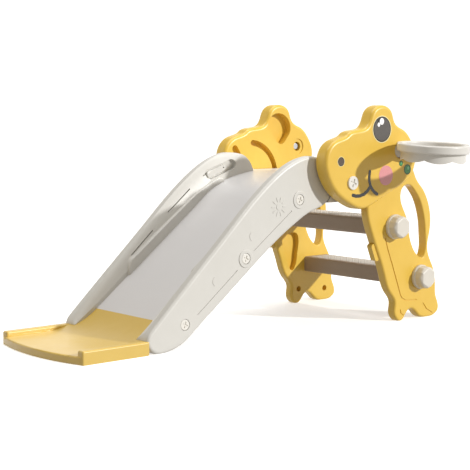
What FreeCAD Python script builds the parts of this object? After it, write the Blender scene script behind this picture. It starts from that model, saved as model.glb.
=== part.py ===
import FreeCAD, Part
import math
import os

# A folding toddler slide: two frog-shaped side panels carry two steps, and a
# chute with side rails hangs between their heads on one pivot line.
# Millimetres. +X runs from the toe of the chute to the ladder, +Z is up, and
# the slide's middle plane is y = 0 until the last lines centre the whole.
# "Left" is the -Y side, where the play hoop is; "right" is +Y.

Vector = FreeCAD.Vector

# ---- side panels ---------------------------------------------------------
HEAD_GAP = 384.0            # between the inner faces of the two heads
HEAD_THICK = 46.0
LEG_THICK = 30.0
LEG_SETBACK = 4.0           # the legs' outer faces lie this far inside the heads'
HEAD_ROUND = 10.0
LEG_ROUND = 7.0
HANDLE_ROUND = 4.0
HEAD_IN = HEAD_GAP / 2
HEAD_OUT = HEAD_IN + HEAD_THICK
LEG_OUT = HEAD_OUT - LEG_SETBACK
LEG_IN = LEG_OUT - LEG_THICK

EYE_BUMP_R = 51.0
EYE_BUMP_X = -70.0
EYE_BUMP_Z = 569.0
SOLE_DIP = 2.0              # the toes' curves are cut off flat this far up
FRONT_SOCKET = (22.0, 44.0)     # blind sockets in the feet's inner faces
REAR_SOCKET = (134.0, 37.0)
SOCKET_R = 9.0
SOCKET_DEPTH = 18.0

# ---- steps and their hand nuts -------------------------------------------
STEP_DEPTH = 100.0
STEP_THICK = 47.0
STEP_ROUND = 7.0
UPPER_STEP = (-16.0, 275.0)
LOWER_STEP = (96.0, 121.5)
SPIGOT_R = 16.0             # the steps' threaded ends, out through the panels
SPIGOT_OUT = 20.0           # how far they stand out of the leg
NUT_SEAT_R = 35.5
NUT_SEAT_H = 12.0
NUT_HEX_R = 26.5
NUT_HEIGHT = 36.0
NUT_TAPER = 13.0
SLIP = 0.3                  # clearance of pieces that pass through each other

# ---- chute ---------------------------------------------------------------
CHUTE_GAP = 4.0             # between a head's inner face and the chute's side
RAIL_WIDTH = 48.0           # at its foot
RAIL_TOP_WIDTH = 21.0       # the inner wall leans outwards to this
CURB_WIDTH = 8.0            # the ledge along the foot of each rail's inner wall
RAIL_ROUND = 8.0
RAIL_OUT = HEAD_IN - CHUTE_GAP
RAIL_IN = RAIL_OUT - RAIL_WIDTH
BED_THICK = 50.0
BED_TOP_Z = 428.0
BED_REAR_X = -50.0
SEAM_X = -786.0             # where the bed meets the yellow run-out
SEAM_Z = 73.0
BED_SLOPE = 0.775           # rise per length of the straight run
PLATFORM_BOTTOM_Z = 352.0
TOE_TIP_X = -1078.0
TOE_CORNER_X = -1050.0
TOE_REAR_X = -852.0
TOE_PLATE_H = 21.0
TOE_BLOCK_H = 35.0
TOE_BLOCK_W = 24.0
TONGUE_LENGTH = 60.0
TONGUE_THICK = 12.0
TONGUE_ROOT = 30.0          # how far the tongue reaches back into the toe
TONGUE_HALF = 90.0
RAMP_START_X = -955.0
SEAT_ROUND = 22.0

# ---- fold: pivot line, guide pins and their arc slots --------------------
PIVOT = (-190.0, 407.0)
PIVOT_R = 8.0
PIVOT_HEAD_R = 19.0
PIVOT_HEAD_H = 5.0
PIVOT_REACH = 34.0          # how far the pivot screw goes into the chute
BUSH_WALL = 3.0
RUN_CLEAR = 0.08            # radial, pivot screw in bush
WASHER_R = 24.0
FOLD_DEG = 80.0
PIN_DEG = 4.0               # where the guide pin sits when the slide stands
PIN_ORBIT = 100.0
PIN_R = 6.5
PIN_SLOT_W = 18.0
PIN_SLOT_DEPTH = 22.0
PIN_STAND = 20.0            # how far the pin stands out of the chute's side
PIN_REACH = 24.0            # and how far it goes into it

# ---- screws through the rails --------------------------------------------
RAIL_SCREWS = ((-738.0, 65.0), (-535.0, 219.0), (-342.0, 365.0))
SCREW_HEAD_R = 14.0
SCREW_HEAD_H = 4.0
SCREW_R = 4.0
SCREW_LENGTH = 62.0
BOSS_R = 24.0
BOSS_RISE = 2.0
COUNTERBORE = 4.5
GROOVE = 2.6
LEG_GROOVE = 3.2
CREASE = 2.0

# ---- accessory holes, hoop -----------------------------------------------
ACCESSORY = (3.0, 492.0)
POCKET_R = 24.0
POCKET = 12.0
ACCESSORY_BOLT_R = 5.0
BOLT_HEAD_R = 10.0
BOLT_HEAD_H = 7.0
BOLT_WELL_R = 14.0
BOLT_WELL = 16.0
WELL_RIM = 3.0
CAP_R = 20.0
CAP_H = 8.0
CAP_SKIN = 2.5
HOOP_R = 102.0
HOOP_REACH = 120.0          # hoop centre to the panel's outer face
HOOP_X = 7.0
HOOP_Z = 502.5
HOOP_TILT_DEG = 3.5
HOOP_Y = -HEAD_OUT - HOOP_REACH
RIM_WIDTH = 17.0
RIM_HEIGHT = 23.0
SKIRT_THICK = 3.0
SKIRT_DROP = 26.0
SCALLOPS = 7
SCALLOP_RISE = 8.0
ARM_WIDTH = 36.0
ARM_HEIGHT = 16.0

STICKER = 0.5


# ---- helpers -------------------------------------------------------------
def point(x, z, y=0.0):
    return Vector(x, y, z)


def closed_curve(points, y):
    """A smooth closed outline through a few points of the x-z plane."""
    curve = Part.BSplineCurve()
    curve.interpolate([point(x, z, y) for x, z in points], PeriodicFlag=True)
    return Part.Wire([curve.toShape()])


def open_curve(points, y, start=None, end=None):
    """A smooth curve; start and end are its directions as (x, z)."""
    curve = Part.BSplineCurve()
    places = [point(x, z, y) for x, z in points]
    if start and end:
        curve.interpolate(places, InitialTangent=point(*start), FinalTangent=point(*end))
    else:
        curve.interpolate(places)
    return curve.toShape()


def line(start, end, y):
    return Part.makeLine(point(*start, y), point(*end, y))


def prism(outline, depth, holes=()):
    """Push a flat outline along y by depth, less its holes."""
    face = Part.Face([outline, *holes])
    return face.extrude(Vector(0, depth, 0))


def edges_at(shape, y):
    """The edges that lie in one plane across y."""
    found = []
    for edge in shape.Edges:
        places = edge.discretize(5)
        if all(abs(place.y - y) < 1e-3 for place in places):
            found.append(edge)
    return found


def rounded(shape, radius, *levels):
    edges = []
    for level in levels:
        edges += edges_at(shape, level)
    return shape.makeFillet(radius, edges)


def rod(place, radius, y_from, y_to):
    """A round bar along y."""
    start = point(*place, min(y_from, y_to))
    return Part.makeCylinder(radius, abs(y_to - y_from), start, Vector(0, 1, 0))


def on_orbit(radius, degrees, centre):
    angle = math.radians(degrees)
    return (centre[0] + radius * math.cos(angle), centre[1] + radius * math.sin(angle))


def arc(radius, deg_from, deg_to, centre, y):
    places = [on_orbit(radius, deg, centre) for deg in (deg_from, (deg_from + deg_to) / 2, deg_to)]
    return Part.Arc(*[point(x, z, y) for x, z in places]).toShape()


def straight_slot(start, end, width, y_from, y_to):
    """A bar with round ends between two places, from y_from to y_to."""
    y = min(y_from, y_to)
    half = width / 2
    lean = math.degrees(math.atan2(end[1] - start[1], end[0] - start[0]))
    outline = Part.Wire([
        arc(half, lean + 90, lean + 270, start, y),
        line(on_orbit(half, lean - 90, start), on_orbit(half, lean - 90, end), y),
        arc(half, lean - 90, lean + 90, end, y),
        line(on_orbit(half, lean + 90, end), on_orbit(half, lean + 90, start), y),
    ])
    return prism(outline, abs(y_to - y_from))


def curved_slot(radius, deg_from, deg_to, centre, width, y_from, y_to):
    """A bar with round ends along an arc about a centre."""
    y = min(y_from, y_to)
    half = width / 2
    outline = Part.Wire([
        arc(radius + half, deg_from, deg_to, centre, y),
        arc(half, deg_to, deg_to + 180, on_orbit(radius, deg_to, centre), y),
        arc(radius - half, deg_to, deg_from, centre, y),
        arc(half, deg_from + 180, deg_from + 360, on_orbit(radius, deg_from, centre), y),
    ])
    return prism(outline, abs(y_to - y_from))


def joined(shapes):
    whole = shapes[0]
    if len(shapes) > 1:
        whole = whole.fuse(shapes[1:])
    return whole


def path_slot(places, width, y_from, y_to):
    """Straight slots in a row, joined at their round ends."""
    bars = [straight_slot(one, two, width, y_from, y_to) for one, two in zip(places, places[1:])]
    return joined(bars)


def hexagon(radius, place, y):
    corners = [on_orbit(radius, 30 + 60 * k, place) for k in range(7)]
    return Part.makePolygon([point(x, z, y) for x, z in corners])


def cross_recess(place, size, y, depth):
    """The cross-shaped driver recess of a screw head, cut inwards from y."""
    arms = None
    for turn in (20, 110):
        arm = Part.makeBox(size * 2, depth, size * 0.42)
        arm.translate(Vector(-size, 0, -size * 0.21))
        arm.rotate(Vector(0, 0, 0), Vector(0, 1, 0), turn)
        arm.translate(point(place[0], place[1], y))
        arms = arm if arms is None else arms.fuse(arm)
    return arms


def below_floor():
    """Everything under the floor, to cut rounded feet off flat."""
    return Part.makeBox(2400, 1200, 50, Vector(-1200, -600, -50))


def mirrored(shape):
    """The same piece on the right side of the slide."""
    return shape.mirror(Vector(0, 0, 0), Vector(0, 1, 0))


# ---- side panel (left; the right one is its mirror image) ----------------
def head_outline(y):
    bump = [on_orbit(EYE_BUMP_R, deg, (EYE_BUMP_X, EYE_BUMP_Z)) for deg in (172, 140, 90, 40, 6)]
    crown = [(-205, 541), (-155, 553), (-133, 560)]
    nape = [(-5, 561), (22, 549), (50, 522), (68, 487), (69, 452)]
    chin = [(52, 418), (26, 399), (-25, 377), (-95, 346), (-150, 332)]
    snout = [(-200, 349), (-248, 380), (-281, 425), (-291, 465), (-281, 500), (-252, 524)]
    return closed_curve(crown + bump + nape + chin + snout, y)


def leg_outline(y):
    """The leg, its two toes and the handle arm; the soles dip just below the floor."""
    shin = [(-90, 400), (-125, 328), (-106, 262), (-75, 192), (-54, 140), (-30, 86), (-8, 54), (-10, 26)]
    front_toe = [(2, 4), (15, -SOLE_DIP), (30, 4)]
    notch = [(44, 21), (60, 30), (77, 22)]
    rear_toe = [(98, 4), (130, -SOLE_DIP), (162, 2), (181, 16), (181, 36)]
    back = [(171, 60), (168, 102), (152, 154), (136, 184), (131, 212)]
    arm = [(138, 245), (143, 280), (139, 315), (126, 350), (106, 380), (80, 407), (62, 440)]
    neck = [(30, 468), (-30, 468)]
    return closed_curve(shin + front_toe + notch + rear_toe + back + arm + neck, y)


HANDLE = [(35, 392), (15, 378), (12, 352), (26, 320), (44, 282), (51, 245), (63, 214), (84, 187),
          (106, 177), (118, 196), (119, 238), (115, 280), (105, 318), (90, 350), (68, 377)]
EYE_HOLLOW = [(-112, 580), (-85, 594), (-55, 590), (-33, 570), (-27, 545), (-42, 518), (-65, 500),
              (-86, 512), (-108, 538), (-119, 560)]
LEG_HOLLOW = [(-46, 218), (-15, 224), (14, 218), (20, 200), (15, 160), (6, 118), (-7, 105),
              (-21, 118), (-40, 170), (-50, 202)]
LEG_CREASE = [(-52, 245), (-42, 214), (-21, 164), (4, 101), (15, 73), (22, 64), (38, 57), (82, 55)]


def side_panel():
    head = prism(head_outline(-HEAD_OUT), HEAD_THICK)
    head = rounded(head, HEAD_ROUND, -HEAD_OUT, -HEAD_IN)
    handle = closed_curve(HANDLE, -LEG_OUT)
    leg = rounded(prism(leg_outline(-LEG_OUT), LEG_THICK), LEG_ROUND, -LEG_OUT, -LEG_IN)
    leg = leg.cut(prism(handle, LEG_THICK))
    rims = [edge for edge in edges_at(leg, -LEG_OUT) + edges_at(leg, -LEG_IN)
            if edge.BoundBox.XMin > 0 and edge.BoundBox.XLength > 60]
    leg = leg.makeFillet(HANDLE_ROUND, rims)
    leg = leg.cut(below_floor())
    tab = straight_slot((-79, 188), (-93, 222), 16, -LEG_OUT + 6, -LEG_IN - 6)
    panel = head.fuse([leg, tab])
    openings = [
        prism(closed_curve(HANDLE, -HEAD_OUT - 1), HEAD_THICK + 2),
        curved_slot(PIN_ORBIT, PIN_DEG, PIN_DEG + FOLD_DEG, PIVOT, PIN_SLOT_W,
                    -HEAD_IN - PIN_SLOT_DEPTH, -HEAD_IN + 1),
        straight_slot((-250, 490), (-223, 448), 22, -HEAD_IN - 16, -HEAD_IN + 1),
        prism(closed_curve(EYE_HOLLOW, -HEAD_IN + 1), -24),
        prism(closed_curve(LEG_HOLLOW, -LEG_IN + 1), -17),
        path_slot(LEG_CREASE, LEG_GROOVE, -LEG_OUT - 1, -LEG_OUT + CREASE),
        path_slot([(15, 31), (17, 21), (27, 15)], LEG_GROOVE, -LEG_OUT - 1, -LEG_OUT + CREASE),
        path_slot([(112, 42), (128, 22), (152, 10)], LEG_GROOVE, -LEG_OUT - 1, -LEG_OUT + CREASE),
    ]
    bores = [
        rod(PIVOT, PIVOT_R + SLIP, -HEAD_OUT - 1, -HEAD_IN + 1),
        rod(UPPER_STEP, SPIGOT_R + SLIP, -HEAD_OUT, -LEG_IN + 1),
        rod(LOWER_STEP, SPIGOT_R + SLIP, -HEAD_OUT, -LEG_IN + 1),
        rod(ACCESSORY, ACCESSORY_BOLT_R + SLIP, -HEAD_OUT, -HEAD_IN + 1),
        rod(ACCESSORY, POCKET_R, -HEAD_OUT - 1, -HEAD_OUT + POCKET),
        rod(ACCESSORY, BOLT_WELL_R, -HEAD_IN - BOLT_WELL, -HEAD_IN + 1),
        rod(ACCESSORY, POCKET_R, -HEAD_IN - WELL_RIM, -HEAD_IN + 1),
        rod(FRONT_SOCKET, SOCKET_R, -LEG_IN - SOCKET_DEPTH, -LEG_IN + 1),
        rod(REAR_SOCKET, SOCKET_R, -LEG_IN - SOCKET_DEPTH, -LEG_IN + 1),
    ]
    return panel.cut(openings + bores)


# ---- steps ---------------------------------------------------------------
def step(place):
    """A board that spans the legs, with a threaded spigot at each end."""
    x, z = place
    length = 2 * LEG_IN
    corner = Vector(x - STEP_DEPTH / 2, -LEG_IN, z - STEP_THICK / 2)
    board = Part.makeBox(STEP_DEPTH, length, STEP_THICK, corner)
    long_edges = [edge for edge in board.Edges if abs(edge.Length - length) < 0.01]
    board = board.makeFillet(STEP_ROUND, long_edges)
    return board.fuse(rod(place, SPIGOT_R, -LEG_OUT - SPIGOT_OUT, LEG_OUT + SPIGOT_OUT))


def hand_nut(place):
    """A cap nut: round seat, then a hexagon that narrows to its end."""
    seat_end = -LEG_OUT - NUT_SEAT_H
    nut_end = -LEG_OUT - NUT_HEIGHT
    seat = rounded(rod(place, NUT_SEAT_R, -LEG_OUT, seat_end), 2.5, seat_end)
    start = hexagon(NUT_SEAT_R - 3, place, seat_end + 3)
    middle = hexagon(NUT_SEAT_R - 3, place, nut_end + NUT_TAPER)
    end = hexagon(NUT_HEX_R, place, nut_end)
    nut = seat.fuse([Part.makeLoft([start, middle], True), Part.makeLoft([middle, end], True)])
    bore = rod(place, SPIGOT_R + SLIP, -LEG_OUT + 1, -LEG_OUT - SPIGOT_OUT - 1)
    return nut.removeSplitter().cut(bore)


# ---- chute ---------------------------------------------------------------
RAIL_TOP = [(-846, 56), (-700, 192), (-600, 284), (-500, 376), (-440, 423), (-400, 449), (-350, 472),
            (-298, 482), (-262, 474), (-236, 452), (-222, 422), (-218, 390), (-228, 362)]
LEAN = [(-910, -2, 0), (-846, 56, 14), (-780, 118, 30), (-700, 192, 42), (-600, 284, 58), (-500, 376, 66),
        (-440, 423, 66), (-400, 449, 60), (-350, 472, 46), (-298, 482, 26), (-240, 496, 0)]   # x, z, drop
SHOULDER = ((0.0, -0.03), (0.25, 0.06), (0.5, 0.24), (0.75, 0.54), (1.0, 1.0))   # way across, share of drop
SHAVING_TOP = 600.0
PINCHES = (((-661, 208), (-589, 271)), ((-533, 321), (-457, 382)), ((-407, 418), (-394, 425)))
PINCH_WIDTH = 3.2
PINCH_DEPTH = 16.0
HOLLOW = ((-385, 422), (-306, 448))     # a pill-shaped hollow near the top of the inner wall
HOLLOW_WIDTH = 30.0
HOLLOW_DEPTH = 13.0
ISLAND = ((-385, 422), (-333, 440))     # and the raised island in it
ISLAND_WIDTH = 17.0
ISLAND_DEPTH = 6.0
ISLAND_HOLE_R = 2.2
SUN = (-418, 350)
SUN_RAYS = 10
CRESCENTS = (((-508, 277), 125), ((-634, 168), 125))    # centre, and the angle where each starts
MARK_RISE = 1.0
MARK_WIDTH = 3.4
RAIL_FOOT = [(-300, 328), (-350, 303), (-400, 273), (-460, 231), (-620, 109), (-700, 48), (-750, 13)]
RAIL_HEEL = [(-795, 0), (-830, 0), (-848, 12), (-857, 36)]
BED_CREST = [(-400, 373), (-350, 398), (-290, 416), (-220, BED_TOP_Z - 1), (-150, BED_TOP_Z)]
BED_BELLY = [(-450, 273), (-380, 320), (-300, 345), (-240, PLATFORM_BOTTOM_Z)]
BEND_X = -450.0             # where the straight run starts to level out


def rail_outline(y):
    return closed_curve(RAIL_TOP + RAIL_FOOT + RAIL_HEEL, y)


def shaving():
    """What the inner wall's lean takes off a full-width rail: nothing where the rail's top is
    flat, then ever more towards the wall's foot, so that the shoulder comes out rounded."""
    y_from = -RAIL_OUT + RAIL_TOP_WIDTH
    y_to = -RAIL_IN + 1
    sections = []
    for way, share in SHOULDER:
        y = y_from + way * (y_to - y_from)
        crest = [(x, z - share * drop) for x, z, drop in LEAN]
        start, end = crest[0], crest[-1]
        sections.append(Part.Wire([
            open_curve(crest, y),
            line(end, (end[0], SHAVING_TOP), y),
            line((end[0], SHAVING_TOP), (start[0], SHAVING_TOP), y),
            line((start[0], SHAVING_TOP), start, y),
        ]))
    return Part.makeLoft(sections, True, False)


def bed_point(x, drop=0.0):
    """A place on the straight run of the bed, or below it."""
    return (x, SEAM_Z + BED_SLOPE * (x - SEAM_X) - drop)


def bed():
    """The sliding surface and the seat between the heads, one moulding."""
    y = -RAIL_OUT
    bend = bed_point(BEND_X)
    rear_top = (BED_REAR_X, BED_TOP_Z)
    rear_foot = (BED_REAR_X, PLATFORM_BOTTOM_Z)
    outline = Part.Wire([
        line(bed_point(SEAM_X), bend, y),
        open_curve([bend] + BED_CREST, y, (1, BED_SLOPE), (1, 0)),
        line(BED_CREST[-1], rear_top, y),
        line(rear_top, rear_foot, y),
        line(rear_foot, BED_BELLY[-1], y),
        open_curve(BED_BELLY, y),
        line(BED_BELLY[0], bed_point(SEAM_X, BED_THICK), y),
        line(bed_point(SEAM_X, BED_THICK), bed_point(SEAM_X), y),
    ])
    slab = prism(outline, 2 * RAIL_OUT)
    rear = [edge for edge in slab.Edges if abs(edge.CenterOfMass.x - BED_REAR_X) < 0.01]
    slab = slab.makeFillet(SEAT_ROUND, [edge for edge in rear if edge.Length > RAIL_OUT])
    for low in (-RAIL_OUT, RAIL_IN):
        rail_space = prism(rail_outline(low), RAIL_WIDTH)
        front = Part.makeBox(-300 - SEAM_X + 10, RAIL_WIDTH, 600, Vector(SEAM_X - 10, low, 0))
        slab = slab.cut([rail_space, front])
    wells = [rod(PIVOT, PIVOT_R + BUSH_WALL, side * (RAIL_OUT - PIVOT_REACH - 2), side * (RAIL_OUT + 1))
             for side in (-1, 1)]
    pins = [rod(on_orbit(PIN_ORBIT, PIN_DEG, PIVOT), PIN_R, side * (RAIL_OUT - PIN_REACH),
                side * (RAIL_OUT + 1)) for side in (-1, 1)]
    screws = [rod(place, SCREW_R, side * (RAIL_OUT - SCREW_LENGTH), side * RAIL_OUT)
              for place in RAIL_SCREWS for side in (-1, 1)]
    return slab.cut(wells + pins + screws)


def side_rail(bed_shape, toe_shape):
    """The left side wall of the chute, with its ledge, bosses, grooves and hollow."""
    rail = rounded(prism(rail_outline(-RAIL_OUT), RAIL_WIDTH), RAIL_ROUND, -RAIL_OUT)
    rail = rail.cut(shaving())
    ledge_outline = [(-668, 201), (-591, 259), (-491, 334), (-423, 381), (-380, 403), (-345, 408),
                     (-338, 396), (-352, 380), (-423, 330), (-560, 226), (-640, 165), (-676, 150)]
    ledge = prism(closed_curve(ledge_outline, -RAIL_IN - 14), CURB_WIDTH + 14)
    ledge = rounded(ledge, 3, -RAIL_IN + CURB_WIDTH)
    bosses = [rod(place, BOSS_R, -RAIL_OUT - BOSS_RISE, -RAIL_OUT + 2) for place in RAIL_SCREWS[1:]]
    bosses = [rounded(boss, 1.5, -RAIL_OUT - BOSS_RISE) for boss in bosses]
    rail = rail.fuse([ledge] + bosses + [raised_marks()]).cut(bed_shape).cut(toe_shape).cut(below_floor())
    inner = -RAIL_IN
    cuts = [rod(place, SCREW_HEAD_R + 1, -RAIL_OUT - 5, -RAIL_OUT - BOSS_RISE + COUNTERBORE)
            for place in RAIL_SCREWS[1:]]
    cuts.append(rod(RAIL_SCREWS[0], SCREW_HEAD_R + 1, -RAIL_OUT - 5, -RAIL_OUT + COUNTERBORE))
    cuts += [rod(place, SCREW_R, -RAIL_OUT - 5, inner + 1) for place in RAIL_SCREWS]
    cuts.append(path_slot([(-697, 88), (-565, 190)], GROOVE, -RAIL_OUT - 1, -RAIL_OUT + CREASE))
    cuts.append(path_slot([(-507, 238), (-372, 336)], GROOVE, -RAIL_OUT - 1, -RAIL_OUT + CREASE))
    for start, end in PINCHES:
        cuts.append(straight_slot(start, end, PINCH_WIDTH, inner - PINCH_DEPTH, inner + 1))
    hollow = straight_slot(*HOLLOW, HOLLOW_WIDTH, inner - HOLLOW_DEPTH, inner + 1)
    island = straight_slot(*ISLAND, ISLAND_WIDTH, inner - HOLLOW_DEPTH - 1, inner - ISLAND_DEPTH)
    cuts.append(hollow.cut(island))
    cuts.append(rod(ISLAND[1], ISLAND_HOLE_R, inner - HOLLOW_DEPTH, inner + 1))
    return rail.cut(cuts)


def raised_marks():
    """A small sun and two crescents, raised on the rail's outer face."""
    top, root = -RAIL_OUT - MARK_RISE, -RAIL_OUT + 2
    marks = [rod(SUN, 9, top, root)]
    for ray in range(SUN_RAYS):
        turn = 360 / SUN_RAYS * ray
        marks.append(straight_slot(on_orbit(15, turn, SUN), on_orbit(25, turn, SUN), MARK_WIDTH, top, root))
    for centre, start in CRESCENTS:
        marks.append(curved_slot(12, start, start + 110, centre, MARK_WIDTH, top, root))
    return Part.makeCompound(marks)


def run_out(bed_shape):
    """The toe: a low plate with a bowed lip, a block each side and a tongue under the bed."""
    y = -RAIL_OUT
    ramp_start = (RAMP_START_X, TOE_PLATE_H)
    seam_top = bed_point(SEAM_X)
    seam_foot = bed_point(SEAM_X, BED_THICK)
    profile = Part.Wire([
        line((TOE_TIP_X, 0), (TOE_REAR_X, 0), y),
        line((TOE_REAR_X, 0), seam_foot, y),
        line(seam_foot, seam_top, y),
        open_curve([seam_top, (-860, 34), ramp_start], y, (-1, -BED_SLOPE), (-1, 0)),
        line(ramp_start, (TOE_TIP_X, TOE_PLATE_H), y),
        line((TOE_TIP_X, TOE_PLATE_H), (TOE_TIP_X, 0), y),
    ])
    plate = prism(profile, 2 * RAIL_OUT)
    lip = Part.Arc(Vector(TOE_CORNER_X, -RAIL_OUT, 0), Vector(TOE_TIP_X, 0, 0),
                   Vector(TOE_CORNER_X, RAIL_OUT, 0)).toShape()
    corners = [Vector(TOE_CORNER_X, RAIL_OUT, 0), Vector(TOE_REAR_X, RAIL_OUT, 0),
               Vector(TOE_REAR_X, RAIL_IN, 0), Vector(SEAM_X, RAIL_IN, 0), Vector(SEAM_X, -RAIL_IN, 0),
               Vector(TOE_REAR_X, -RAIL_IN, 0), Vector(TOE_REAR_X, -RAIL_OUT, 0),
               Vector(TOE_CORNER_X, -RAIL_OUT, 0)]
    sides = [Part.makeLine(one, two) for one, two in zip(corners, corners[1:])]
    plan = Part.Face(Part.Wire([lip] + sides)).extrude(Vector(0, 0, 100))
    uprights = [edge for edge in plan.Edges
                if abs(edge.CenterOfMass.x - TOE_CORNER_X) < 0.01 and abs(edge.Length - 100) < 0.01]
    plate = plate.common(plan.makeFillet(14, uprights))
    front = [edge for edge in plate.Edges
             if edge.BoundBox.XMax < TOE_CORNER_X + 16 and edge.BoundBox.ZLength < 0.1]
    plate = plate.makeFillet(4, front)
    blocks = []
    for low in (-RAIL_OUT, RAIL_OUT - TOE_BLOCK_W):
        block = Part.makeBox(TOE_REAR_X - TOE_CORNER_X, TOE_BLOCK_W, TOE_BLOCK_H,
                             Vector(TOE_CORNER_X, low, 0))
        top = [edge for edge in block.Edges if edge.BoundBox.ZMax > TOE_BLOCK_H - 0.1]
        blocks.append(block.makeFillet(5, top))
    root_x = SEAM_X - TONGUE_ROOT
    root_z = seam_foot[1] - BED_SLOPE * TONGUE_ROOT / 2
    tip = bed_point(SEAM_X + TONGUE_LENGTH, BED_THICK)
    under = [(root_x, root_z + TONGUE_THICK / 2), seam_foot, tip, (tip[0], tip[1] - TONGUE_THICK),
             (SEAM_X, seam_foot[1] - TONGUE_THICK), (root_x, root_z - TONGUE_THICK / 2)]
    tongue = Part.makePolygon([point(x, z, -TONGUE_HALF) for x, z in under + under[:1]])
    return plate.fuse(blocks + [prism(tongue, 2 * TONGUE_HALF)]).cut(bed_shape)


def headed_screw(place, face_y, head_r, head_h, shank_r, length):
    """A domed cross-head screw driven inwards from an outer face on the left."""
    head = rounded(rod(place, head_r, face_y - head_h, face_y), 1.5, face_y - head_h)
    shank = rod(place, shank_r, face_y, face_y + length)
    return head.fuse(shank).cut(cross_recess(place, head_r * 0.6, face_y - head_h - 0.5, head_h * 0.7))


def rail_screws():
    screws = []
    for place in RAIL_SCREWS:
        seat = -RAIL_OUT + COUNTERBORE - (0 if place == RAIL_SCREWS[0] else BOSS_RISE)
        length = SCREW_LENGTH - COUNTERBORE - 1
        screws.append(headed_screw(place, seat, SCREW_HEAD_R, SCREW_HEAD_H, SCREW_R, length))
    return Part.makeCompound(screws)


# ---- pivots --------------------------------------------------------------
def pivot_screw():
    length = HEAD_THICK + CHUTE_GAP + PIVOT_REACH
    return headed_screw(PIVOT, -HEAD_OUT, PIVOT_HEAD_R, PIVOT_HEAD_H, PIVOT_R, length)


def pivot_bush():
    """The sleeve in the chute that turns on the pivot screw."""
    outer = rod(PIVOT, PIVOT_R + BUSH_WALL, -RAIL_OUT, -RAIL_OUT + PIVOT_REACH)
    return outer.cut(rod(PIVOT, PIVOT_R + RUN_CLEAR, -RAIL_OUT - 1, -RAIL_OUT + PIVOT_REACH + 1))


def pivot_washer():
    """The spacer between the head and the chute, on the head's side."""
    outer = rod(PIVOT, WASHER_R, -HEAD_IN, -HEAD_IN + CHUTE_GAP - SLIP)
    return outer.cut(rod(PIVOT, PIVOT_R + SLIP, -HEAD_IN - 1, -HEAD_IN + CHUTE_GAP))


def guide_pin():
    place = on_orbit(PIN_ORBIT, PIN_DEG, PIVOT)
    pin = rod(place, PIN_R, -RAIL_OUT - PIN_STAND, -RAIL_OUT + PIN_REACH)
    return rounded(pin, 1.5, -RAIL_OUT - PIN_STAND)


# ---- accessory fixings and the play hoop ---------------------------------
def accessory_bolt():
    """A bolt from the head's inner well, through its web, into the fitting outside."""
    seat = -HEAD_IN - BOLT_WELL
    head = rounded(rod(ACCESSORY, BOLT_HEAD_R, seat, seat + BOLT_HEAD_H), 2, seat + BOLT_HEAD_H)
    reach = -HEAD_OUT + POCKET - CAP_H + CAP_SKIN
    return head.fuse(rod(ACCESSORY, ACCESSORY_BOLT_R, seat, reach))


def bolt_hole():
    reach = -HEAD_OUT + POCKET - CAP_H + CAP_SKIN
    return rod(ACCESSORY, ACCESSORY_BOLT_R, reach, -HEAD_OUT + POCKET + 1)


def accessory_cap():
    """A blank cap in the head's outer pocket, where no hoop is fitted."""
    face = -HEAD_OUT + POCKET
    cap = rounded(rod(ACCESSORY, CAP_R, face, face - CAP_H), 2, face - CAP_H)
    return cap.cut(bolt_hole())


def tilted(shape):
    """Lean a hoop piece so that its far side hangs lower."""
    turned = shape.copy()
    turned.rotate(Vector(HOOP_X, HOOP_Y, HOOP_Z), Vector(1, 0, 0), HOOP_TILT_DEG)
    return turned


def ring(outer, inner, low, high):
    centre = Vector(HOOP_X, HOOP_Y, low)
    return Part.makeCylinder(outer, high - low, centre).cut(Part.makeCylinder(inner, high - low, centre))


def hoop_rim():
    """The hoop's ring, with a shallow groove round its top."""
    low = HOOP_Z - RIM_HEIGHT / 2
    high = HOOP_Z + RIM_HEIGHT / 2
    rim = ring(HOOP_R, HOOP_R - RIM_WIDTH, low, high)
    rim = rim.makeFillet(4.5, [edge for edge in rim.Edges if edge.Length < 2 * math.pi * HOOP_R + 1
                               and edge.BoundBox.ZLength < 0.1])
    middle = HOOP_R - RIM_WIDTH / 2
    rim = rim.cut(ring(middle + 1.5, middle - 1.5, high - 1.5, high + 1))
    socket = ring(HOOP_R - RIM_WIDTH + SKIRT_THICK + 3, HOOP_R - RIM_WIDTH + 3, low - 1, low + 4)
    return tilted(rim.cut(socket))


def hoop_skirt():
    """The scalloped band that hangs from the rim."""
    inner = HOOP_R - RIM_WIDTH + 3
    top = HOOP_Z - RIM_HEIGHT / 2 + 4
    foot = HOOP_Z - RIM_HEIGHT / 2 - SKIRT_DROP
    band = ring(inner + SKIRT_THICK, inner, foot, top)
    half = math.pi * inner / SCALLOPS
    scallop_r = (half ** 2 + SCALLOP_RISE ** 2) / (2 * SCALLOP_RISE)
    lobes = []
    for turn in range(SCALLOPS):
        angle = 360 / SCALLOPS * (turn + 0.5)
        lobe = Part.makeCylinder(scallop_r, 20, Vector(inner - 8, 0, foot + scallop_r), Vector(1, 0, 0))
        lobe.rotate(Vector(0, 0, 0), Vector(0, 0, 1), angle)
        lobe.translate(Vector(HOOP_X, HOOP_Y, 0))
        lobes.append(band.common(lobe))
    return tilted(joined(lobes).removeSplitter())


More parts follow.
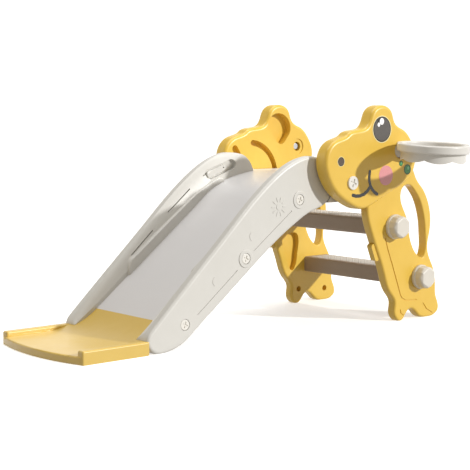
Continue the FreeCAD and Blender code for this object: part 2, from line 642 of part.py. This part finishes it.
def hoop_arm(rim):
    """The bracket: a disc in the head's pocket and an arm out to the rim."""
    face = -HEAD_OUT + POCKET
    disc = rod(ACCESSORY, CAP_R, face, face - CAP_H)
    arm = Part.makeBox(ARM_WIDTH, HOOP_REACH - HOOP_R + CAP_H + 8, ARM_HEIGHT,
                       Vector(HOOP_X - ARM_WIDTH / 2, HOOP_Y + HOOP_R - 6, HOOP_Z - ARM_HEIGHT / 2))
    arm = arm.makeFillet(3, [edge for edge in arm.Edges if edge.BoundBox.YLength > 10])
    core = Part.makeCylinder(HOOP_R - 0.5, 60, Vector(HOOP_X, HOOP_Y, HOOP_Z - 30))
    behind = Part.makeBox(2 * POCKET_R + ARM_WIDTH, HEAD_THICK, 2 * POCKET_R + ARM_WIDTH,
                          Vector(HOOP_X - POCKET_R - ARM_WIDTH / 2, -HEAD_OUT - SLIP,
                                 HOOP_Z - POCKET_R - ARM_WIDTH / 2))
    behind = behind.cut(rod(ACCESSORY, CAP_R, face, -HEAD_OUT - 1))
    return disc.fuse(tilted(arm).cut(behind)).cut([rim, tilted(core), bolt_hole()])


# ---- stickers on the head's outer face -----------------------------------
def stickers():
    """Thin printed pieces: eye, nostril, mouth, cheek and two leaf spots."""
    low = -HEAD_OUT - STICKER
    high = -HEAD_OUT
    smile = [(-188, 373), (-176, 370), (-160, 370), (-144, 374), (-130, 383), (-119, 395), (-111, 385),
             (-102, 377), (-92, 372)]
    bow = [(-122, 436), (-124, 424), (-124, 411), (-119, 395)]
    return {
        "eye_sticker": rod((-75, 553), 38, low, high),
        "nostril_sticker": rod((-235, 467), 14, low, high),
        "mouth_sticker": path_slot(smile, 9.5, low, high).fuse(path_slot(bow, 9.5, low, high)).removeSplitter(),
        "cheek_sticker": rod((-57, 423), 28, low, high),
        "leaf_stickers": Part.makeCompound([rod((5, 455), 8, low, high), rod((32, 437), 14.5, low, high)]),
    }


# ---- every piece in its place --------------------------------------------
def all_pieces():
    pieces = {}

    def pair(name, shape):
        pieces["left_" + name] = shape
        pieces["right_" + name] = mirrored(shape)

    pair("side_panel", side_panel())
    pieces["upper_step"] = step(UPPER_STEP)
    pieces["lower_step"] = step(LOWER_STEP)
    pair("upper_hand_nut", hand_nut(UPPER_STEP))
    pair("lower_hand_nut", hand_nut(LOWER_STEP))
    pieces["chute_bed"] = bed()
    pieces["run_out"] = run_out(pieces["chute_bed"])
    pair("rail", side_rail(pieces["chute_bed"], pieces["run_out"]))
    pair("rail_screws", rail_screws())
    pair("pivot_screw", pivot_screw())
    pair("pivot_bush", pivot_bush())
    pair("pivot_washer", pivot_washer())
    pair("guide_pin", guide_pin())
    pieces["hoop_rim"] = hoop_rim()
    pieces["hoop_skirt"] = hoop_skirt()
    pieces["hoop_arm"] = hoop_arm(pieces["hoop_rim"])
    pieces["hoop_bolt"] = accessory_bolt()
    pieces["right_cap_bolt"] = mirrored(accessory_bolt())
    pieces["right_accessory_cap"] = mirrored(accessory_cap())
    for name, shape in stickers().items():
        pair(name, shape)
    return pieces


def centred(pieces):
    """Move all the pieces so that the whole stands centred on the origin."""
    box = Part.makeCompound(list(pieces.values())).optimalBoundingBox(False, False)
    shift = Vector(-(box.XMin + box.XMax) / 2, -(box.YMin + box.YMax) / 2, 0)
    print("shift", round(shift.x, 3), round(shift.y, 3), "floor", round(box.ZMin, 4))
    print("size", round(box.XLength, 2), round(box.YLength, 2), round(box.ZLength, 2))
    for shape in pieces.values():
        shape.translate(shift)
    return pieces


os.makedirs("parts", exist_ok=True)
for name, shape in centred(all_pieces()).items():
    print(name, shape.isValid(), len(shape.Solids), round(shape.Volume / 1000), "cm3")
    shape.exportStep("parts/" + name + ".step")
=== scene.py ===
# %% [markdown]
# # A folding toddler slide
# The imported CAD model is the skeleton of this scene: every panel, rail, step and
# screw already has its true size and place. This notebook gives each of them the
# finish of the real piece, makes anew the few small pieces whose look depends on
# fine relief, and then sets up a plain studio. Everything is in metres, +Z is up
# and +X runs from the toe of the chute to the ladder.

# %% Load the frame
import bpy
import math
import numpy as np
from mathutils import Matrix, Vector


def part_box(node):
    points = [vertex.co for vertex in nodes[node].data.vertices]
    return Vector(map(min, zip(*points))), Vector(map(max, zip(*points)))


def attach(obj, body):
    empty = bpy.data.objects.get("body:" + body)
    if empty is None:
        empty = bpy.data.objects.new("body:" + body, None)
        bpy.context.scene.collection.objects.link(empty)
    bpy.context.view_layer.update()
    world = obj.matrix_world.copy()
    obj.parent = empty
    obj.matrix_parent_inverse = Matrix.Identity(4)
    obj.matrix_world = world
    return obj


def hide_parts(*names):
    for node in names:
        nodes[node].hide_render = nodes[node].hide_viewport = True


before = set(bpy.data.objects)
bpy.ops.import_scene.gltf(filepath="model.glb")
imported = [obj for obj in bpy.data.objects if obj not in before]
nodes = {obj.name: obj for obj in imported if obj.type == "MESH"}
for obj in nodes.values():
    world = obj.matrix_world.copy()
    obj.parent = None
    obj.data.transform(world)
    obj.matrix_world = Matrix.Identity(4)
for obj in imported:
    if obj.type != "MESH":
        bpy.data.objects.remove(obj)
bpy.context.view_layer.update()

# %% [markdown]
# ## Lengths and colours
# Dimensions of small relief are easier to read in millimetres, so `mm` turns them
# into metres. Colours are chosen as a designer would on a screen, in sRGB, while
# the renderer works with linear light, so `paint` converts them.

# %% Units and colours
MM = 0.001


def mm(length):
    """Millimetres to metres."""
    return length * MM


def paint(code):
    """A screen colour such as "E6B93A" as linear red, green, blue and alpha."""
    channels = np.array([int(code[k:k + 2], 16) for k in (0, 2, 4)]) / 255
    low = channels / 12.92
    high = ((channels + 0.055) / 1.055) ** 2.4
    return (*np.where(channels <= 0.04045, low, high), 1.0)


print("one inch is", mm(25.4), "m; mid grey is", round(paint("808080")[0], 3))

# %% [markdown]
# ## Shader arithmetic
# A material in Blender is a graph of nodes, and drawing it by hand hides the sums
# in it. `Wire` stands for one socket, and ordinary arithmetic on it adds the Math
# node that does that sum. `Finish` owns one material: its `node` method adds any
# other node, with its settings first and then its inputs.

# %% Wires and finishes


class Wire:
    """A socket of a material, or the result of a sum on sockets."""

    def __init__(self, finish, socket):
        self.finish = finish
        self.socket = socket

    def sum(self, operation, *terms, clamp=False):
        """A Math node that does one operation on the terms."""
        settings = {"operation": operation, "use_clamp": clamp}
        return self.finish.node("ShaderNodeMath", settings, dict(enumerate(terms)))

    def __add__(self, other):
        return self.sum("ADD", self, other)

    def __sub__(self, other):
        return self.sum("SUBTRACT", self, other)

    def __rsub__(self, other):
        return self.sum("SUBTRACT", other, self)

    def __mul__(self, other):
        return self.sum("MULTIPLY", self, other)

    def __truediv__(self, other):
        return self.sum("DIVIDE", self, other)

    def __pow__(self, other):
        return self.sum("POWER", self, other)

    def clamped(self):
        """The same value, kept within 0 and 1."""
        return self.sum("ADD", self, 0.0, clamp=True)



class Finish:
    """One material: a Principled shader and the nodes that feed it."""

    def __init__(self, name, **constants):
        self.material = bpy.data.materials.new(name)
        self.material.use_nodes = True
        self.tree = self.material.node_tree
        self.shader = self.tree.nodes["Principled BSDF"]
        for socket, value in constants.items():
            self.shader.inputs[socket.replace("_", " ")].default_value = value
        self.place = self.node("ShaderNodeTexCoord", {}, {}, "Object")

    def node(self, kind, settings, inputs, output=0):
        made = self.tree.nodes.new(kind)
        for name, value in settings.items():
            setattr(made, name, value)
        for key, value in inputs.items():
            if isinstance(value, Wire):
                self.tree.links.new(value.socket, made.inputs[key])
            else:
                made.inputs[key].default_value = value
        return Wire(self, made.outputs[output])

    def feed(self, **sources):
        """Link results to the shader's sockets; Base_Color stands for Base Color."""
        for socket, wire in sources.items():
            self.tree.links.new(wire.socket, self.shader.inputs[socket.replace("_", " ")])

    def stretched(self, x, y, z):
        """Object coordinates, scaled along each axis."""
        return self.node("ShaderNodeMapping", {}, {"Vector": self.place, "Scale": (x, y, z)})

    def noise(self, per_metre, detail=2.0, where=None):
        """Smooth noise from 0 to 1, with that many lumps to the metre."""
        inputs = {"Vector": where or self.place, "Scale": per_metre, "Detail": detail}
        return self.node("ShaderNodeTexNoise", {}, inputs, "Fac")

    def mix(self, share, first, second):
        """The first colour where share is 0, the second where it is 1."""
        inputs = {0: share, 6: first, 7: second}
        return self.node("ShaderNodeMix", {"data_type": "RGBA"}, inputs, 2)

    def axis(self, index):
        """One object coordinate: 0 is x, 1 is y and 2 is z."""
        return self.node("ShaderNodeSeparateXYZ", {}, {0: self.place}, index)

    def bump(self, height, depth, normal=None):
        """Relief whose height goes from 0 to depth metres."""
        inputs = {"Height": height, "Strength": 1.0, "Distance": depth}
        if normal:
            inputs["Normal"] = normal
        return self.node("ShaderNodeBump", {}, inputs)


print("shader arithmetic is ready")

# %% [markdown]
# ## Moulded plastic
# The panels, rails and bed are blow-moulded polyethylene. Such a surface isn't
# a mirror: the mould leaves a fine grain, the wall cools into very shallow waves,
# and the colour drifts a little where the wall is thicker. Handling polishes some
# patches. Each of those is one layer of noise, at its own scale.

# %% Moulded plastic


def moulded(name, light, deep, roughness=0.36, grain=0.00006, waves=0.0005, coat=0.12):
    """Blow-moulded plastic; light and deep are the ends of its colour drift."""
    finish = Finish(name, Coat_Weight=coat, Coat_Roughness=0.22, IOR=1.5)
    drift = finish.noise(5.0, 3.0)
    cloud = finish.noise(38.0, 4.0)
    share = (drift * 1.2 + cloud * 0.5 - 0.45).clamped()
    finish.feed(Base_Color=finish.mix(share, paint(light), paint(deep)))
    handled = finish.noise(14.0, 5.0)
    finish.feed(Roughness=handled * 0.16 + (roughness - 0.08))
    wave = finish.bump(finish.noise(22.0, 1.0), waves)
    finish.feed(Normal=finish.bump(finish.noise(1500.0, 2.0), grain, wave))
    return finish.material


PANEL_YELLOW = moulded("panel_yellow_plastic", "E6C04E", "DDB33E")
TOE_YELLOW = moulded("toe_yellow_plastic", "DBBB60", "D3B155", roughness=0.34)
RAIL_WHITE = moulded("rail_warm_white_plastic", "D4D2CC", "CCCAC3", roughness=0.42)
HOOP_WHITE = moulded("hoop_white_plastic", "E0DDD7", "D7D4CC", roughness=0.34, waves=0.0001)
NUT_WHITE = moulded("hand_nut_plastic", "DDD8CE", "D2CCC0", roughness=0.32, waves=0.0001)
CAP_WHITE = moulded("screw_cap_plastic", "E8E5DE", "DCD8CF", roughness=0.30, waves=0.00005)
print("moulded plastics are made")

# %% [markdown]
# ## The bed
# Children polish the bed along its length, so its scratches run downhill. Noise
# stretched along the slope gives long thin streaks, and they only change how
# sharp the reflection is.

# %% Bed plastic


def bed_plastic():
    """Light grey plastic with fine streaks along the slide."""
    finish = Finish("bed_grey_plastic", Coat_Weight=0.2, Coat_Roughness=0.2, IOR=1.5)
    drift = finish.noise(4.0, 3.0)
    finish.feed(Base_Color=finish.mix(drift, paint("DEDDDD"), paint("D5D4D4")))
    streaks = finish.noise(1.0, 3.0, finish.stretched(7.0, 420.0, 7.0))
    finish.feed(Roughness=streaks * 0.14 + 0.27)
    wave = finish.bump(finish.noise(16.0, 1.0), 0.0006)
    finish.feed(Normal=finish.bump(finish.noise(1300.0, 2.0), 0.00004, wave))
    return finish.material


BED_GREY = bed_plastic()
print("the bed's finish is", BED_GREY.name)

# %% [markdown]
# ## Steps, steel and acetal
# The steps are a darker, coarser polypropylene with a sparkle-like grain. The
# bolts are zinc plated, which is a metal with small spangles of roughness, and
# the bushes and washers are a waxy acetal.

# %% Step plastic, steel and acetal


def grained(name, light, deep, roughness, grain):
    """Polypropylene with a leather-like grain of about a millimetre."""
    finish = Finish(name, IOR=1.5, Coat_Weight=0.04)
    fine = finish.noise(700.0, 3.0)
    broad = finish.noise(9.0, 3.0)
    finish.feed(Base_Color=finish.mix((broad + fine * 0.5 - 0.3).clamped(), paint(light), paint(deep)))
    finish.feed(Roughness=fine * 0.2 + (roughness - 0.1))
    finish.feed(Normal=finish.bump(fine, grain))
    return finish.material


def plated_steel():
    """Zinc plating: spangles a few millimetres across."""
    finish = Finish("zinc_plated_steel", Metallic=1.0)
    spangle = finish.node("ShaderNodeTexVoronoi", {}, {"Vector": finish.place, "Scale": 420.0}, "Distance")
    finish.feed(Base_Color=finish.mix(spangle.clamped(), paint("B9BABD"), paint("9C9DA1")))
    finish.feed(Roughness=spangle * 0.2 + 0.28)
    return finish.material


STEP_TAUPE = grained("step_taupe_plastic", "A7937E", "9B8773", 0.5, 0.00010)
TREAD_TAUPE = grained("tread_pale_plastic", "CBC5BC", "BEB7AC", 0.55, 0.00012)
ACETAL = grained("acetal", "DAD8D2", "D0CDC6", 0.35, 0.00003)
STEEL = plated_steel()
print("step plastic, steel and acetal are made")

# %% [markdown]
# ## Printed marks
# The eye, nostril, mouth, cheek and leaf spots are thin glossy prints. A print is
# a drawing, so its colour is worked out from the distance to its middle: a dark
# disc, a black rim, a pale border and two glints. `disc` gives 1 inside a radius
# and 0 outside, with an edge a fraction of a millimetre soft.

# %% Helpers for prints
PRINT_EDGE = mm(0.4)
INK_MOTTLE = 0.18


def middle(node):
    """The middle of a node's box, as x and z."""
    low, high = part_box(node)
    return (low.x + high.x) / 2, (low.z + high.z) / 2


def disc(finish, centre, radius, squeeze=1.0):
    """1 within radius of centre in the x-z plane, 0 outside it."""
    across = (finish.axis("X") - centre[0]) * squeeze
    up = finish.axis("Z") - centre[1]
    distance = (across * across + up * up) ** 0.5
    return ((radius - distance) / PRINT_EDGE + 0.5).clamped()


def print_finish(name):
    """The glossy film that every mark is printed on."""
    return Finish(name, Roughness=0.26, Coat_Weight=0.35, Coat_Roughness=0.12, IOR=1.5)


def speckled(finish, colour):
    """The very slight mottle of ink on film: some of it darker by INK_MOTTLE."""
    darker = tuple(channel * (1 - INK_MOTTLE) for channel in colour[:3]) + (1.0,)
    return finish.mix(finish.noise(260.0, 3.0), colour, darker)


print("an eye's middle is at", [round(v, 4) for v in middle("left_eye_sticker")])

# %% [markdown]
# ## Eye and nostril
# Both are dark discs on a slightly larger pale sticker. The discs are laid over
# one another, largest first, and two off-centre white ones make the eye shine.

# %% Eye and nostril prints
EYE_RIM_R = mm(35.8)
EYE_DARK_R = mm(32.6)
EYE_SHADE = (mm(-8), mm(21), mm(12))
EYE_GLINTS = ((mm(-1), mm(22), mm(9.5)), (mm(-13), mm(13), mm(6)))
NOSTRIL_RIM_R = mm(12.5)
NOSTRIL_DARK_R = mm(10.4)


def eye_print():
    """A dark disc with a black rim, a pale border, and two white glints."""
    finish = print_finish("eye_print")
    x, z = middle("left_eye_sticker")
    dark = speckled(finish, paint("57534F"))
    colour = finish.mix(disc(finish, (x, z), EYE_RIM_R), paint("F3E7B0"), paint("141212"))
    colour = finish.mix(disc(finish, (x, z), EYE_DARK_R), colour, dark)
    across, up, radius = EYE_SHADE
    colour = finish.mix(disc(finish, (x + across, z + up), radius), colour, paint("16130F"))
    for across, up, radius in EYE_GLINTS:
        glint = disc(finish, (x + across, z + up), radius, 1.1)
        colour = finish.mix(glint, colour, paint("FFFFFF"))
    finish.feed(Base_Color=colour)
    return finish.material


def nostril_print():
    """A dark spot with a pale border."""
    finish = print_finish("nostril_print")
    centre = middle("left_nostril_sticker")
    dark = speckled(finish, paint("54463A"))
    colour = finish.mix(disc(finish, centre, NOSTRIL_RIM_R), paint("F0E2A4"), paint("2A2119"))
    finish.feed(Base_Color=finish.mix(disc(finish, centre, NOSTRIL_DARK_R), colour, dark))
    return finish.material


EYE_PRINT = eye_print()
NOSTRIL_PRINT = nostril_print()
print("prints:", EYE_PRINT.name, NOSTRIL_PRINT.name)

# %% [markdown]
# ## Mouth, cheek and leaf spots
# The mouth and the cheek are one flat colour each, cut to shape by the sticker.
# The two leaf spots share a sticker sheet, so one finish paints both of them.

# %% Mouth, cheek and leaf prints
SMALL_SPOT_R = mm(8)
LARGE_SPOT_R = mm(14.5)


def flat_print(name, code):
    """One ink colour all over."""
    finish = print_finish(name)
    finish.feed(Base_Color=speckled(finish, paint(code)))
    return finish.material


def leaf_print():
    """Two green spots, each with a dark border and a paler middle."""
    finish = print_finish("leaf_print")
    low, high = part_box("left_leaf_stickers")
    small = (low.x + SMALL_SPOT_R, high.z - SMALL_SPOT_R)
    large = (high.x - LARGE_SPOT_R, low.z + LARGE_SPOT_R)
    colour = paint("1F4A22")
    for (x, z), radius in ((small, SMALL_SPOT_R), (large, LARGE_SPOT_R)):
        colour = finish.mix(disc(finish, (x, z), radius * 0.8), colour, paint("2F8A3E"))
        glow = (x + radius * 0.2, z + radius * 0.25)
        colour = finish.mix(disc(finish, glow, radius * 0.35, 1.4), colour, paint("7CC58B"))
    finish.feed(Base_Color=colour)
    return finish.material


MOUTH_PRINT = flat_print("mouth_print", "131110")
CHEEK_PRINT = flat_print("cheek_print", "E79A9C")
LEAF_PRINT = leaf_print()
print("prints:", MOUTH_PRINT.name, CHEEK_PRINT.name, LEAF_PRINT.name)

# %% [markdown]
# ## Dressing the frame
# A CAD node keeps its mesh and its place. Only the material in its slot changes,
# so one table of node and finish dresses the whole slide.

# %% Dress the nodes
DRESS = {
    "side_panel": PANEL_YELLOW, "rail": RAIL_WHITE, "rail_screws": CAP_WHITE,
    "pivot_screw": CAP_WHITE, "pivot_bush": ACETAL, "pivot_washer": ACETAL, "guide_pin": STEEL,
    "upper_hand_nut": NUT_WHITE, "lower_hand_nut": NUT_WHITE,
    "eye_sticker": EYE_PRINT, "nostril_sticker": NOSTRIL_PRINT, "mouth_sticker": MOUTH_PRINT,
    "cheek_sticker": CHEEK_PRINT, "leaf_stickers": LEAF_PRINT,
}
DRESS_SINGLE = {
    "upper_step": STEP_TAUPE, "lower_step": STEP_TAUPE, "chute_bed": BED_GREY,
    "run_out": TOE_YELLOW, "hoop_rim": HOOP_WHITE, "hoop_skirt": HOOP_WHITE,
    "hoop_arm": HOOP_WHITE, "hoop_bolt": STEEL, "right_cap_bolt": STEEL,
    "right_accessory_cap": CAP_WHITE,
}


def dress(node, material):
    """Put one material in every slot of a node."""
    for place in nodes[node].material_slots:
        place.material = material


for side in ("left", "right"):
    for piece, material in DRESS.items():
        dress(side + "_" + piece, material)
for node, material in DRESS_SINGLE.items():
    dress(node, material)
print("dressed", 2 * len(DRESS) + len(DRESS_SINGLE), "nodes")

# %% [markdown]
# ## New pieces from surfaces
# A new piece is a grid of points: a function of two parameters, worked out as
# whole arrays. `sheet_faces` joins neighbouring grid points into quads, and can
# close the grid into a tube. `new_piece` puts the arrays into a mesh, lets it
# ride on a body and gives it its finish.

# %% Grid helpers


def sheet_faces(rows, columns, wrap=False):
    """Quads between grid points; with wrap the last column joins the first."""
    across = columns if wrap else columns - 1
    row, column = np.meshgrid(np.arange(rows - 1), np.arange(across), indexing="ij")
    beside = (column + 1) % columns
    corners = [row * columns + column, row * columns + beside,
               (row + 1) * columns + beside, (row + 1) * columns + column]
    return np.stack(corners, axis=-1).reshape(-1, 4).tolist()


def turned(radius, height):
    """Rings round the z axis and one pole below the first of them.

    Point (i, j) is (r cos a, r sin a, h) for ring i and angle a = 2 pi j / n,
    and the pole is (0, 0, h) of ring 0. The radii have a row for each ring and in
    it one value for each angle. With it come the faces: quads and a fan.
    """
    rings, columns = radius.shape
    angle = np.linspace(0, 2 * math.pi, columns, endpoint=False)
    level = np.repeat(height[:, None], columns, axis=1)
    points = np.stack([radius * np.cos(angle), radius * np.sin(angle), level], axis=-1).reshape(-1, 3)
    pole = len(points)
    fan = [[pole, (k + 1) % columns, k] for k in range(columns)]
    return np.vstack([points, [0, 0, height[0]]]), sheet_faces(rings, columns, True) + fan


def new_piece(name, points, faces, body, material):
    """A mesh from arrays, in its place, riding on a body."""
    mesh = bpy.data.meshes.new(name)
    mesh.from_pydata(points.reshape(-1, 3).tolist(), [], faces)
    mesh.update()
    mesh.polygons.foreach_set("use_smooth", np.full(len(mesh.polygons), True))
    mesh.materials.append(material)
    made = bpy.data.objects.new(name, mesh)
    bpy.context.scene.collection.objects.link(made)
    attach(made, body)
    print(name, len(mesh.polygons), "faces")
    return made


# %% [markdown]
# ## Anti-slip treads
# The top of each step has a moulded pattern of short bars that lean left and
# right in turn, like checker plate. As a height over the board, a bar is a
# rounded bump: high where the distance to the bar's middle line is small. The
# pattern repeats, so one formula on folded coordinates draws all of the bars.

# %% Treads
TREAD_PITCH = mm(13)
BAR_HALF = mm(4.6)
BAR_WIDTH = mm(2.0)
BAR_RISE = mm(1.5)
TREAD_RISE = mm(0.6)
TREAD_MARGIN = mm(9)
TREAD_CELL = mm(1.1)
TREAD_BORDER = mm(2.5)
TREAD_SUNK = mm(0.5)


def bar_height(along, across):
    """Height of the bars: rise * smooth(1 - distance / width) of the nearest bar.

    The plane is cut into square cells. In each cell the coordinates are turned
    45 degrees one way or the other, as on a chessboard, and the distance is
    taken to a line of half length BAR_HALF through the cell's middle.
    """
    column = np.floor(along / TREAD_PITCH)
    row = np.floor(across / TREAD_PITCH)
    lean = np.where((column + row) % 2 == 0, 1.0, -1.0)
    local_a = along - (column + 0.5) * TREAD_PITCH
    local_b = (across - (row + 0.5) * TREAD_PITCH) * lean
    forward = (local_a + local_b) / math.sqrt(2)
    sideways = (local_a - local_b) / math.sqrt(2)
    beyond = np.maximum(np.abs(forward) - BAR_HALF, 0)
    closeness = np.clip(1 - np.hypot(beyond, sideways) / BAR_WIDTH, 0, 1)
    return BAR_RISE * closeness ** 0.5


def tread(step):
    """A low plate on a step: bars above, a sloped border, and a flat back."""
    low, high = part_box(step)
    left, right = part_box("left_side_panel")[1].y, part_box("right_side_panel")[0].y
    y = np.arange(left + TREAD_MARGIN, right - TREAD_MARGIN, TREAD_CELL)
    x = np.arange(low.x + TREAD_MARGIN, high.x - TREAD_MARGIN, TREAD_CELL)
    grid_x, grid_y = np.meshgrid(x, y, indexing="ij")
    inset_x = np.minimum(grid_x - x[0], x[-1] - grid_x)
    inset_y = np.minimum(grid_y - y[0], y[-1] - grid_y)
    border = np.clip(np.minimum(inset_x, inset_y) / TREAD_BORDER, 0, 1)
    border = border * border * (3 - 2 * border)
    height = border * (TREAD_RISE + bar_height(grid_y - y[0], grid_x - x[0])) + TREAD_SUNK * (border - 1)
    top = np.stack([grid_x, grid_y, high.z + height], axis=-1).reshape(-1, 3)
    number = np.arange(len(top)).reshape(len(x), len(y))
    rim = np.concatenate([number[0, :-1], number[:-1, -1], number[-1, :0:-1], number[:0:-1, 0]])
    back = top[rim] - (0, 0, TREAD_SUNK)
    under = len(top) + np.arange(len(rim))
    skirt = np.stack([rim, np.roll(rim, -1), np.roll(under, -1), under], axis=-1).tolist()
    faces = [face[::-1] for face in sheet_faces(len(x), len(y))] + skirt + [under.tolist()]
    return new_piece(step + "_tread", np.vstack([top, back]), faces, "frame", TREAD_TAUPE)


for step_name in ("upper_step", "lower_step"):
    tread(step_name)

# %% [markdown]
# ## Hand nuts
# Each step is held by a large cap nut that a grown-up turns by hand. Its seat is
# round, its grip has twelve soft facets, and its end is a flat hexagon. A surface
# of revolution whose radius also depends on the angle draws all three.

# %% Hand nuts
NUT_TURNS = 144
NUT_STATIONS = (
    (34.0, 0.0, 12, 0.0), (35.2, 0.4, 12, 0.0), (35.5, 1.4, 12, 0.0), (35.5, 7.0, 12, 0.0),
    (35.2, 8.4, 12, 0.0), (34.2, 9.2, 12, 0.2), (33.4, 10.2, 12, 0.8), (33.2, 13.0, 12, 1.0),
    (32.8, 20.0, 12, 1.0), (32.2, 27.0, 12, 1.0), (31.6, 30.0, 12, 0.8), (30.6, 32.6, 6, 0.5),
    (29.4, 34.6, 6, 0.9), (28.4, 35.7, 6, 1.0), (27.2, 36.0, 6, 1.0), (26.0, 36.0, 6, 1.0),
    (14.0, 35.6, 6, 1.0),
)


def facets(angle, sides):
    """Radius of a polygon whose corners lie on a unit circle: cos(s / 2) / cos(t).

    s is the angle of one side seen from the middle, and t is the angle from the
    middle of the nearest side. One corner points straight up.
    """
    sector = 2 * math.pi / sides
    inside = ((angle - math.pi / 2) % sector) - sector / 2
    return math.cos(sector / 2) / np.cos(inside)


def hand_nut(node):
    """A cap nut: at each station the radius r becomes r (1 - k (1 - facets)).

    A station is a radius, a height over the seat, a number of sides, and the
    sharpness k with which they show. The turned surface is stood on the panel.
    """
    low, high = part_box(node)
    middle = np.array([(low.x + high.x) / 2, 0, (low.z + high.z) / 2])
    leftward = low.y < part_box("left_side_panel")[0].y
    seat = high.y if leftward else low.y
    angle = np.linspace(0, 2 * math.pi, NUT_TURNS, endpoint=False)
    stations = NUT_STATIONS[::-1]
    radius = np.array([mm(r) * (1 - k * (1 - facets(angle, sides))) for r, rise, sides, k in stations])
    height = np.array([mm(rise) for r, rise, sides, k in stations])
    points, faces = turned(radius, height)
    across, up, out = points.T
    sense = -1.0 if leftward else 1.0
    placed = middle + np.stack([across, seat + sense * out, up], axis=-1)
    seat_ring = (len(stations) - 1) * NUT_TURNS + np.arange(NUT_TURNS)
    faces = faces + [seat_ring.tolist()]
    if leftward:
        faces = [face[::-1] for face in faces]
    made = new_piece(node + "_cap", placed, faces, "frame", NUT_WHITE)
    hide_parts(node)
    return made


for side in ("left", "right"):
    for level in ("upper", "lower"):
        hand_nut(side + "_" + level + "_hand_nut")

# %% [markdown]
# ## Studio
# The floor is a wide pale dish: flat under the slide and rising far away, so that
# no horizon shows. It neither shades the slide nor throws light onto it, so the
# lights below are the only ones that count.

# %% Floor
DISH_FLAT = 5.0
DISH_FAR = 16.0
DISH_HEIGHT = 9.0
DISH_INNER_RINGS = [0.5, 2.0]
DISH_RINGS = 24
DISH_TURNS = 96


def floor_dish():
    """Height 0 out to DISH_FLAT, then a quarter ellipse up to DISH_HEIGHT."""
    climb = np.linspace(0, math.pi / 2, DISH_RINGS)
    radius = np.concatenate([DISH_INNER_RINGS, DISH_FLAT + (DISH_FAR - DISH_FLAT) * np.sin(climb)])
    height = np.concatenate([[0, 0], DISH_HEIGHT * (1 - np.cos(climb))])
    points, faces = turned(np.repeat(radius[:, None], DISH_TURNS, axis=1), height)
    mesh = bpy.data.meshes.new("studio_floor")
    mesh.from_pydata(points.tolist(), [], [face[::-1] for face in faces])
    mesh.polygons.foreach_set("use_smooth", np.full(len(mesh.polygons), True))
    floor = bpy.data.objects.new("studio_floor", mesh)
    bpy.context.scene.collection.objects.link(floor)
    floor.visible_shadow = False
    floor.visible_diffuse = False
    return floor


def floor_paint():
    """Matt pale paint that glows a little, so that the surround is nearly white."""
    finish = Finish("studio_paint", Roughness=0.8, Emission_Color=(1, 1, 1, 1), Emission_Strength=0.5)
    finish.feed(Base_Color=finish.mix(finish.noise(1.5), paint("F4F3F1"), paint("F1F0EE")))
    return finish.material


floor = floor_dish()
floor.data.materials.append(floor_paint())
print("floor radius", DISH_FAR, "m")

# %% [markdown]
# ## Lights
# The key is a small sun from the ladder side, so the faces turned to the toe stay
# dark. The overhead panel is more than twice as long as the slide, which keeps
# its reflections wide. The surround fills the shadows with a slightly warm grey.

# %% Lights
KEY_DIRECTION = (-0.57, 1.0, -0.45)
KEY_STRENGTH = 2.75
KEY_SPREAD_DEG = 2.0
KEY_PLACE = (3.0, -4.0, 2.0)
PANEL_WATTS = 66.0
PANEL_PLACE = (0.0, 0.4, 3.2)
PANEL_SIZE = {"shape": "RECTANGLE", "size": 3.0, "size_y": 2.2}
SURROUND_COLOUR = (1.0, 0.94, 0.86, 1.0)
SURROUND_STRENGTH = 0.4


def aim(thing, direction):
    """Turn a light or camera so that it looks along a direction."""
    thing.rotation_mode = "QUATERNION"
    thing.rotation_quaternion = Vector(direction).to_track_quat("-Z", "Y")


def light(name, kind, strength, place, direction, **settings):
    """A lamp in its place, aimed along a direction."""
    lamp = bpy.data.lights.new(name, kind)
    lamp.energy = strength
    for setting, value in settings.items():
        setattr(lamp, setting, value)
    made = bpy.data.objects.new(name, lamp)
    made.location = place
    aim(made, direction)
    bpy.context.scene.collection.objects.link(made)
    return made


light("key", "SUN", KEY_STRENGTH, KEY_PLACE, KEY_DIRECTION, angle=math.radians(KEY_SPREAD_DEG))
light("overhead_panel", "AREA", PANEL_WATTS, PANEL_PLACE, (0, 0, -1), **PANEL_SIZE)
world = bpy.data.worlds.new("surround")
world.use_nodes = True
background = world.node_tree.nodes["Background"]
background.inputs["Color"].default_value = SURROUND_COLOUR
background.inputs["Strength"].default_value = SURROUND_STRENGTH
bpy.context.scene.world = world
bpy.context.scene.view_settings.view_transform = "Standard"

# %% [markdown]
# ## Camera
# A long lens from low on the toe side. Its direction is a heading, turned from
# +Y towards +X, and a slight downward pitch.

# %% Camera
HEADING_DEG = 40.227
PITCH_DEG = 5.863
CAMERA_PLACE = (-2.3224, -2.6912, 0.6337)
LENS_MM = 100.45
SENSOR_MM = 36.0

lens = bpy.data.cameras.new("camera")
lens.lens = LENS_MM
lens.sensor_width = SENSOR_MM
camera = bpy.data.objects.new("camera", lens)
camera.location = CAMERA_PLACE
camera.rotation_euler = (math.radians(90 - PITCH_DEG), 0.0, math.radians(-HEADING_DEG))
bpy.context.scene.collection.objects.link(camera)
bpy.context.scene.camera = camera
print("camera at", CAMERA_PLACE)
